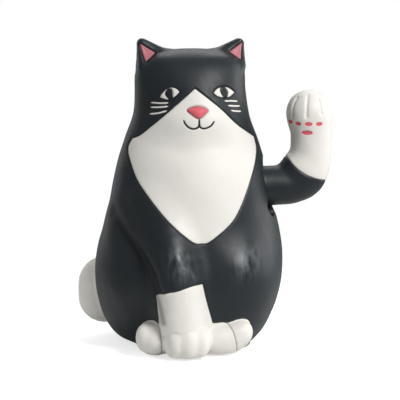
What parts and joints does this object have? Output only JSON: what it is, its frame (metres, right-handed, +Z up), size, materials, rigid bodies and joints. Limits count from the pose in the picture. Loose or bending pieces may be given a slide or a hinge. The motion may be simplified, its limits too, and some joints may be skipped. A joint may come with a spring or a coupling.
{
  "type": "waving cat figurine",
  "caption": "Hollow seated cat figurine with a raised arm that rocks on a pivot, driven by a coil, magnet and battery in the base.",
  "frame": {"origin": "centre of the flat felt face on which the figurine stands", "axes": "+Z up, -Y the way the cat faces, +X the cat's left, where the arm is raised"},
  "size_m": [0.1239, 0.1017, 0.15],
  "materials": {
    "black_paint": "satin",
    "white_paint": "satin",
    "pink_paint": "satin",
    "felt": "matte",
    "base_plastic": "satin",
    "frame_plastic": "satin",
    "black_plastic": "satin",
    "screw_steel": "satin",
    "pin_steel": "gloss",
    "spring_steel": "satin",
    "weight_steel": "satin",
    "magnet": "gloss",
    "brass": "satin",
    "copper": "satin",
    "board": "satin",
    "components": "satin",
    "cell": "gloss",
    "contact_metal": "satin",
    "red_insulation": "satin",
    "black_insulation": "satin"
  },
  "bodies": {
    "cat": {"body_casting": "black_paint", "felt_pad": "felt", "base_plate": "base_plastic", "base_screws": "screw_steel", "swing_frame": "frame_plastic", "frame_screws": "screw_steel", "pivot_pin": "pin_steel", "pin_clips": "spring_steel", "coil_bobbin": "frame_plastic", "drive_coil": "copper", "circuit_board": "board", "board_components": "components", "board_screws": "screw_steel", "battery_cell": "cell", "contact_spring": "contact_metal", "contact_plate": "contact_metal", "switch_body": "black_plastic", "red_lead": "red_insulation", "black_leads": "black_insulation", "coil_leads": "copper"},
    "arm": {"waving_arm": "white_paint", "arm_stub": "frame_plastic", "swing_lever": "frame_plastic", "pivot_bush": "brass", "counterweight": "weight_steel", "drive_magnet": "magnet", "lever_screws": "screw_steel"},
    "door": {"battery_door": "base_plastic"},
    "knob": {"switch_knob": "black_plastic"}
  },
  "joints": [
    {"name": "arm_swing", "type": "hinge", "parent": "cat", "child": "arm", "pos_m": [0.012, -0.006, 0.077], "axis": [0, 1, 0], "range_deg": [-8, 8]},
    {"name": "door_hinge", "type": "hinge", "parent": "cat", "child": "door", "pos_m": [-0.008, 0.0234, 0.0021], "axis": [1, 0, 0], "range_deg": [0, 80]},
    {"name": "knob_slide", "type": "slide", "parent": "cat", "child": "knob", "axis": [0, 1, 0], "range_m": [0, 0.003]}
  ]
}
